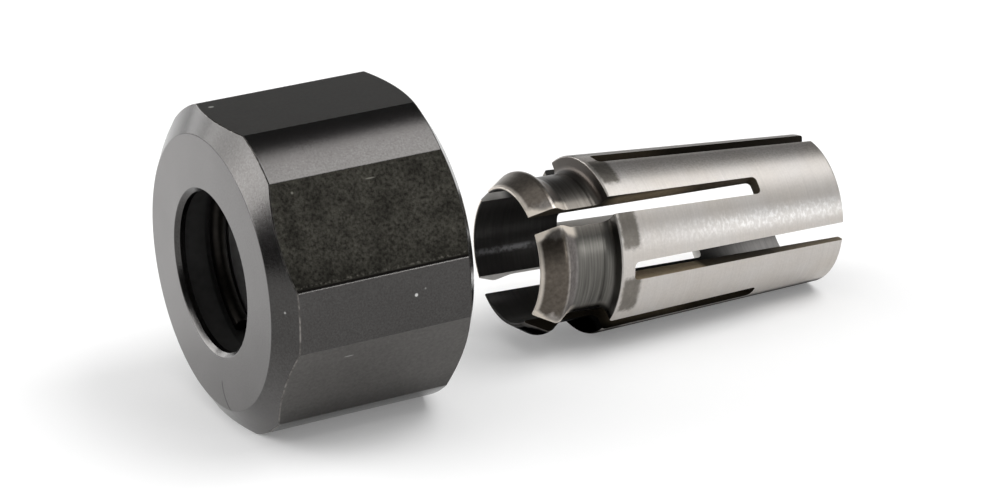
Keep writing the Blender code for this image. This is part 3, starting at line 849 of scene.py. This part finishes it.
# Painted reflection: a faint speckled lighter streak on the far wall.
streak_height = -1.76
off_streak = add(tree, "Math", {"operation": "SUBTRACT"}, {0: z, 1: streak_height})
streak_width = add(tree, "Math", unsigned, {0: off_streak})
painted_reflection = add(tree, "MapRange", smooth, {"Value": streak_width, "From Min": 0.45, "From Max": 0.05})
streak_end = add(tree, "MapRange", smooth, {"Value": x, "From Min": 7.0, "From Max": 5.5})
streak_side = add(tree, "Math", {"operation": "GREATER_THAN"}, {0: y, 1: 0.0})
specks = add(tree, "TexNoise", None, {"Vector": local, "Scale": 2.5, "Detail": 2.0})
speckled = add(tree, "MapRange", None, {
    "Value": specks, "From Min": 0.4, "From Max": 0.6, "To Min": 0.25, "To Max": 0.9})
for share in (streak_end, streak_side, speckled):
    painted_reflection = add(tree, "Math", times, {0: painted_reflection, 1: share})
with_painted_reflection = add(tree, "Mix", blend, {0: painted_reflection, 6: painted_shade_bore, 7: paint("#98989a")})
join(tree, shader, {"Base Color": with_painted_reflection, "Specular Tint": deep_painted_shade})

# Sawn slot wall: rough from the saw, it keeps the brown of hardening. It is painted dark, with its
# reflections dimmed, as painted shade: at the head and neck, deep along the slots, at the outer
# edges and low on the near side. The far walls are paler steel.
tree, shader = steel(slot_wall, 0.5, 0.35)
local = piece_frame(tree, collet_place, collet_tilt)
saw_marks = add(tree, "TexNoise", None, {"Vector": local, "Scale": 3.0, "Detail": 3.0})
tone = add(tree, "Mix", blend, {0: saw_marks, 6: paint("#84765f"), 7: paint("#b09f86")})
x, y, z = add(tree, "SeparateXYZ", None, {0: local}).outputs
# Painted shade: the slot walls darken along the slots, at the head and neck, at the edges and low down.
towards_tail = add(tree, "MapRange", smooth, {
    "Value": x, "From Min": 17.4, "From Max": 16.6, "To Min": 0.16})
tail_end = add(tree, "MapRange", smooth, {"Value": x, "From Min": 22.0, "From Max": 30.0, "To Max": 0.6})
near_along = add(tree, "Math", larger, {0: towards_tail, 1: tail_end})
other_along = add(tree, "MapRange", smooth, {
    "Value": x, "From Min": 18.5, "From Max": 14.5, "To Min": 0.32})
near_side = add(tree, "MapRange", smooth, {"Value": y, "From Min": -1.0, "From Max": -2.5})
from_level = add(tree, "Math", unsigned, {0: z})
at_level = add(tree, "MapRange", smooth, {"Value": from_level, "From Min": 2.0, "From Max": 1.2})
in_near_slot = add(tree, "Math", times, {0: near_side, 1: at_level})
along_slot = add(tree, "Mix", None, {0: in_near_slot, 2: other_along, 3: near_along})
behind_neck = add(tree, "MapRange", smooth, {
    "Value": x, "From Min": 7.6, "From Max": 9.4, "To Min": 0.14})
towards_side = add(tree, "MapRange", smooth, {
    "Value": from_level, "From Min": 6.6, "From Max": 5.8, "To Min": 0.14})
far_side = add(tree, "MapRange", smooth, {"Value": y, "From Min": 2.5, "From Max": 3.5})
lower_half = add(tree, "MapRange", smooth, {"Value": z, "From Min": 0.5, "From Max": -0.5})
far_low = add(tree, "Math", times, {0: far_side, 1: lower_half})
upper_half = add(tree, "MapRange", smooth, {"Value": z, "From Min": 2.5, "From Max": 3.5})
far_top = add(tree, "Math", times, {0: far_side, 1: upper_half})
far_pale = add(tree, "Math", larger, {0: far_low, 1: far_top})
pale_tone = add(tree, "Mix", blend, {0: far_pale, 6: tone, 7: paint("#bfbcb8")})
tail_tone = add(tree, "Mix", None, {0: far_low, 2: along_slot, 3: 1.0})
near_bottom = add(tree, "MapRange", smooth, {"Value": z, "From Min": -2.5, "From Max": -3.5})
near_low = add(tree, "Math", times, {0: near_side, 1: near_bottom})
low_tone = add(tree, "MapRange", None, {"Value": near_low, "To Min": 1.0, "To Max": 0.25})
front_tone = add(tree, "Mix", None, {0: far_low, 2: behind_neck, 3: 1.0})
slot_painted_shade = tail_tone
for share in (front_tone, towards_side, low_tone):
    slot_painted_shade = add(tree, "Math", times, {0: slot_painted_shade, 1: share})
mouth_or_neck = add(tree, "MapRange", smooth, {
    "Value": x, "From Min": 2.0, "From Max": 3.2, "To Min": 0.45, "To Max": 0.05})
painted_light_scale = add(tree, "Mix", None, {0: far_top, 2: slot_painted_shade, 3: mouth_or_neck})
painted_light_tone = add(tree, "VectorMath", scale, {0: pale_tone, "Scale": painted_light_scale})
relief = add(tree, "Bump", None, {"Strength": 0.4, "Distance": 0.01 * MM, "Height": saw_marks})
join(tree, shader, {"Base Color": painted_light_tone, "Specular Tint": painted_light_scale, "Normal": relief})

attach(collet, "root")
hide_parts("split_collet")

# Table top
# A pale sheet that the parts lie on. It keeps their shadow, and adds a little white of its
# own where the camera or a bright surface looks at it, so that it meets the backdrop. Its left
# edge is near the nut, so that low reflections see past it.
table_size = 6
table_left = -0.25


def looked_at(tree):
    """1 where the camera looks, straight, by a reflection or through glass."""
    rays = add(tree, "LightPath")
    looked = rays.outputs["Is Camera Ray"]
    for kind in ("Is Glossy Ray", "Is Transmission Ray"):
        looked = add(tree, "Math", larger, {0: looked, 1: rays.outputs[kind]})
    return looked


bpy.ops.object.select_all(action="DESELECT")
bpy.ops.mesh.primitive_plane_add(size=table_size, location=(table_left + table_size / 2, 0, 0))
table_top = bpy.context.object
table_top.name = "table_top"
table_top.data.materials.append(bpy.data.materials.new("pale_table"))
material = table_top.data.materials[0]
material.use_nodes = True
tree = material.node_tree
tree.nodes.clear()
lift = add(tree, "Math", times, {0: looked_at(tree), 1: 0.15})
paper = add(tree, "BsdfDiffuse", None, {"Color": paint("#ececec")})
white = add(tree, "Emission", None, {"Color": (1, 1, 1, 1), "Strength": lift})
both = add(tree, "AddShader", None, {0: paper, 1: white})
add(tree, "OutputMaterial", None, {"Surface": both})

# Studio
# The camera sees a white backdrop. What the parts reflect of it is dimmer towards the ceiling
# and to one side. Five soft lights stand round them, the strongest on the left.
world = bpy.data.worlds.new("white_studio")
bpy.context.scene.world = world
world.use_nodes = True
tree = world.node_tree
backdrop = tree.nodes["Background"]
rays = add(tree, "LightPath")
direction = add(tree, "TexCoord")
x, _, z = add(tree, "SeparateXYZ", None, {0: direction.outputs["Generated"]}).outputs
sweep = add(tree, "MapRange", smooth, {
    "Value": z, "From Min": 0.08, "From Max": 0.34, "To Min": 1.0, "To Max": 0.12})
to_side = add(tree, "MapRange", smooth, {
    "Value": x, "From Min": -0.92, "From Max": -0.2, "To Min": 0.02})
mirrored = add(tree, "Math", times, {0: sweep, 1: to_side})
reflected = add(tree, "Mix", None, {0: rays.outputs["Is Camera Ray"], 2: mirrored, 3: 1.0})
level = add(tree, "Mix", None, {0: looked_at(tree), 2: 0.55, 3: reflected})
join(tree, backdrop, {"Color": (1, 1, 1, 1), "Strength": level})

centre = Vector((12 * MM, 0, 10 * MM))
for light_name, direction, distance, width, height, watts in (
        ("overhead_softbox", (0.44, -0.225, 0.869), 0.7, 0.5, 0.34, 2.3),
        ("left_softbox", (-0.775, 0.568, 0.276), 0.8, 0.737, 0.38, 4.4),
        ("back_left_card", (-0.305, 0.94, 0.156), 0.8, 0.24, 0.16, 0.3),
        ("ceiling_fill", (-0.42, 0.2, 0.88), 0.8, 0.7, 0.7, 0.9),
        ("front_window", (0.44, -0.867, 0.24), 0.8, 0.16, 0.14, 0.6)):
    aim = Vector(direction).normalized()
    bpy.ops.object.light_add(
        type="AREA", location=centre + aim * distance,
        rotation=aim.to_track_quat("Z", "Y").to_euler())
    softbox = bpy.context.object
    softbox.name = light_name
    softbox.data.shape = "RECTANGLE"
    softbox.data.size = width
    softbox.data.size_y = height
    softbox.data.energy = watts
    softbox.visible_camera = False

# Camera
# It stands where the photograph's perspective puts it, turned a little on its own axis.
camera_pitch = math.radians(21.94)
camera_yaw = math.radians(28.309)
camera_roll = math.radians(-1.07)
aim = Euler((math.pi / 2 - camera_pitch, 0, -camera_yaw)).to_matrix()
aim = aim @ Matrix.Rotation(camera_roll, 3, "Z")
camera_place = Vector((-134.61, -286.24, 141.31)) * MM
bpy.ops.object.camera_add(location=camera_place, rotation=aim.to_euler())
camera = bpy.context.object
camera.data.lens = 135.14
camera.data.sensor_width = 36
camera.data.clip_start = 0.01
bpy.context.scene.camera = camera
bpy.context.scene.view_settings.view_transform = "Standard"
